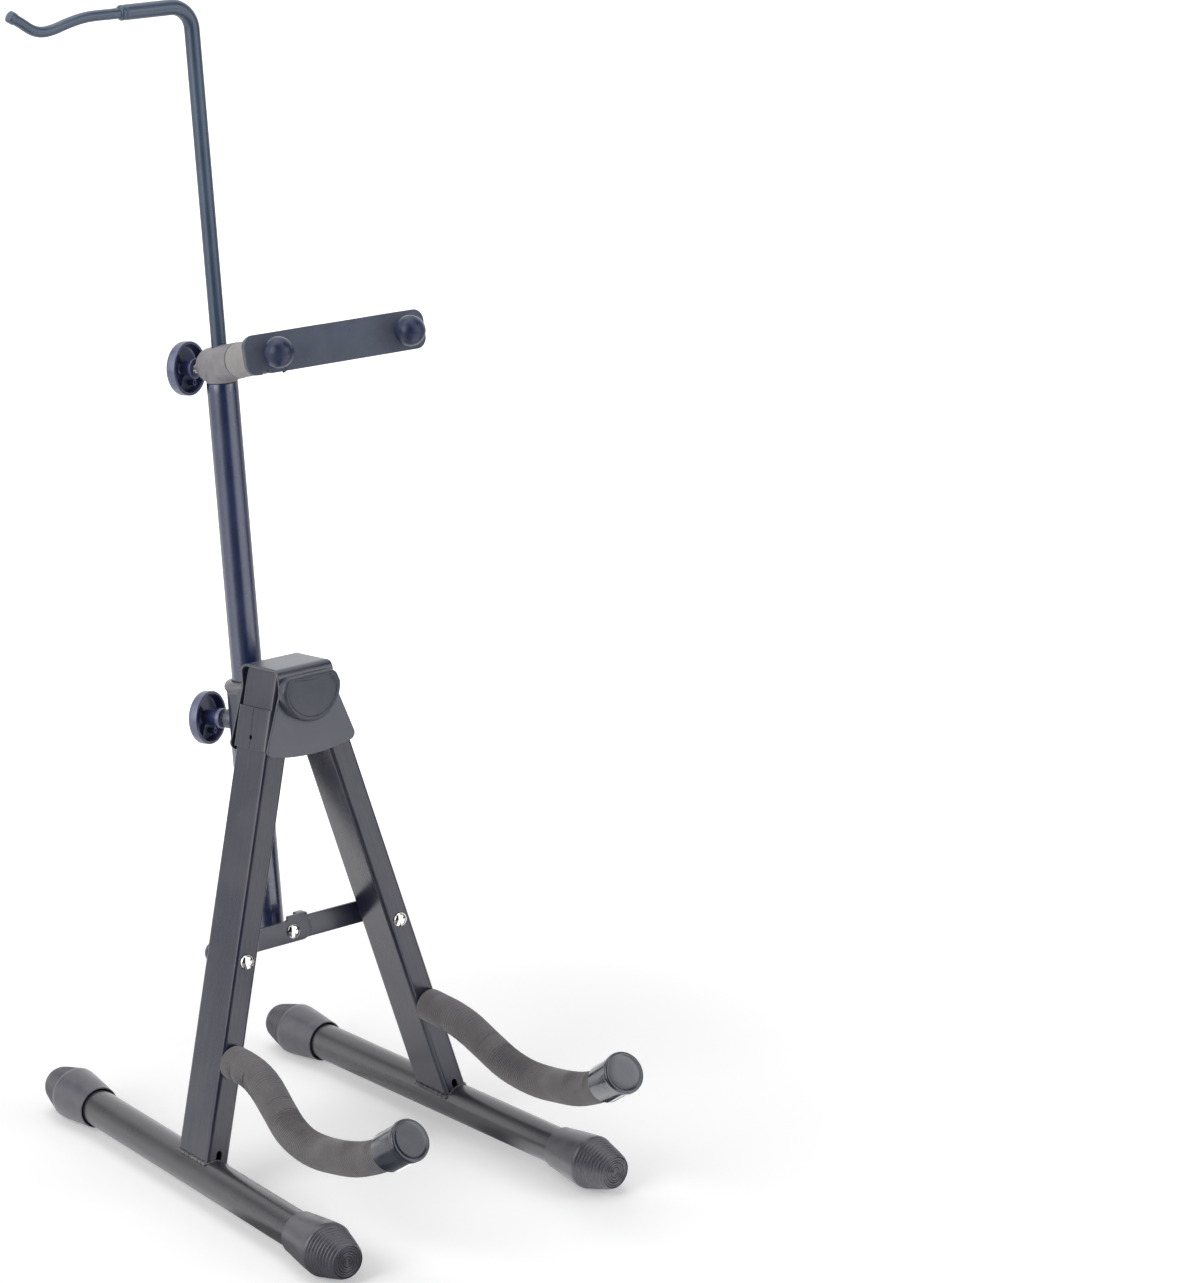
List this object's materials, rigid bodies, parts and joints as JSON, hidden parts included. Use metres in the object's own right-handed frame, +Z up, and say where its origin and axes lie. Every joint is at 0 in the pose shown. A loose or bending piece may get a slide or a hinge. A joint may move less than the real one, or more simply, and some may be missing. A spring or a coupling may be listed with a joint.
{
  "type": "folding violin stand",
  "caption": "Folding tubular violin stand in black powder coat with foam support arms, a swivelling neck rest, a sliding bow hook and clamp knobs.",
  "frame": {"origin": "under the middle of the bounding box, on the floor", "axes": "+Z up, the two support arms point to -Y, +X to the right seen from the front"},
  "size_m": [0.2184, 0.3372, 0.6382],
  "materials": {
    "powder_coat": "semi-gloss black powder coat on steel, fine orange-peel texture",
    "black_plastic": "moulded black plastic, satin",
    "grey_plastic": "moulded dark grey plastic, matt",
    "rubber": "matt black rubber",
    "foam": "closed-cell foam, dull, finely wrinkled at the bends",
    "gloss_plastic": "glossy black end plug",
    "nickel": "nickel-plated steel, satin to bright"
  },
  "bodies": {
    "head": {"head_bracket": "powder_coat", "head_pad": "rubber", "left_leg_pivot": "nickel", "right_leg_pivot": "nickel", "post_sleeve": "powder_coat", "sleeve_bush": "grey_plastic", "sleeve_saddle": "powder_coat", "sleeve_nut": "powder_coat"},
    "left_leg": {"left_leg_tube": "powder_coat", "left_leg_band": "powder_coat", "left_leg_rivet": "nickel", "left_foot_tube": "powder_coat", "left_foot_cap_front": "rubber", "left_foot_cap_back": "rubber", "left_arm_rod": "powder_coat", "left_arm_foam": "foam", "left_arm_cap": "gloss_plastic"},
    "right_leg": {"right_leg_tube": "powder_coat", "right_leg_band": "powder_coat", "right_leg_rivet": "nickel", "right_foot_tube": "powder_coat", "right_foot_cap_front": "rubber", "right_foot_cap_back": "rubber", "right_arm_rod": "powder_coat", "right_arm_foam": "foam", "right_arm_cap": "gloss_plastic", "brace_spacer": "nickel"},
    "left_link": {"left_brace_link": "powder_coat", "brace_rivet_front": "nickel"},
    "right_link": {"right_brace_link": "powder_coat", "brace_rivet_rear": "nickel"},
    "post": {"post_tube": "powder_coat", "post_end_plug": "black_plastic", "post_top_bush": "black_plastic"},
    "neck_rest": {"neck_clamp": "grey_plastic", "neck_arm_tube": "powder_coat", "neck_arm_foam": "foam", "neck_plate": "powder_coat", "neck_plate_pad": "foam", "left_neck_peg": "nickel", "right_neck_peg": "nickel", "left_neck_ball": "rubber", "right_neck_ball": "rubber"},
    "rod_slider": {"rod_guide": "black_plastic"},
    "bow_hook": {"hook_rod": "powder_coat", "hook_wire": "powder_coat", "hook_tip_cap": "black_plastic"},
    "height_knob": {"lower_knob": "black_plastic", "lower_knob_stud": "nickel"},
    "neck_knob": {"upper_knob": "black_plastic", "upper_knob_stud": "nickel"}
  },
  "joints": [
    {"name": "left_leg_hinge", "type": "hinge", "parent": "head", "child": "left_leg", "pos_m": [-0.00786, 0.03986, 0.26554], "axis": [0, -0.9945, 0.1045], "range_deg": [0, 13.7]},
    {"name": "right_leg_hinge", "type": "hinge", "parent": "head", "child": "right_leg", "pos_m": [0.01814, 0.03986, 0.26554], "axis": [0, 0.9945, -0.1045], "range_deg": [0, 13.7]},
    {"name": "left_brace_hinge", "type": "hinge", "parent": "left_leg", "child": "left_link", "pos_m": [-0.04653, 0.02538, 0.1278], "axis": [0, -0.9945, 0.1045], "range_deg": [0, 56.24]},
    {"name": "right_brace_hinge", "type": "hinge", "parent": "right_leg", "child": "right_link", "pos_m": [0.05681, 0.02538, 0.1278], "axis": [0, 0.9945, -0.1045], "range_deg": [0, 56.24]},
    {"name": "post_slide", "type": "slide", "parent": "head", "child": "post", "axis": [0, 0.1045, 0.9945], "range_m": [0, 0.08]},
    {"name": "neck_rest_swivel", "type": "hinge", "parent": "post", "child": "neck_rest", "pos_m": [0.00514, 0.09632, 0.42772], "axis": [0, 0.1045, 0.9945], "range_deg": [-90, 90]},
    {"name": "rod_slide", "type": "slide", "parent": "post", "child": "rod_slider", "axis": [0, 0.1045, 0.9945], "range_m": [-0.15, 0]},
    {"name": "rod_swivel", "type": "hinge", "parent": "rod_slider", "child": "bow_hook", "pos_m": [0.00514, 0.09504, 0.41549], "axis": [0, 0.1045, 0.9945], "continuous": true},
    {"name": "height_knob_spin", "type": "hinge", "parent": "head", "child": "height_knob", "pos_m": [-0.00467, 0.10076, 0.23752], "axis": [-0.3746, 0.9221, -0.0969], "continuous": true},
    {"name": "neck_knob_spin", "type": "hinge", "parent": "neck_rest", "child": "neck_knob", "pos_m": [-0.00187, 0.11626, 0.43317], "axis": [-0.342, 0.9345, -0.0982], "continuous": true}
  ],
  "couplings": [
    {"joint": "right_leg_hinge", "follows": "left_leg_hinge", "ratio": 1},
    {"joint": "left_brace_hinge", "follows": "left_leg_hinge", "ratio": 4.1013},
    {"joint": "right_brace_hinge", "follows": "left_leg_hinge", "ratio": 4.1013}
  ]
}
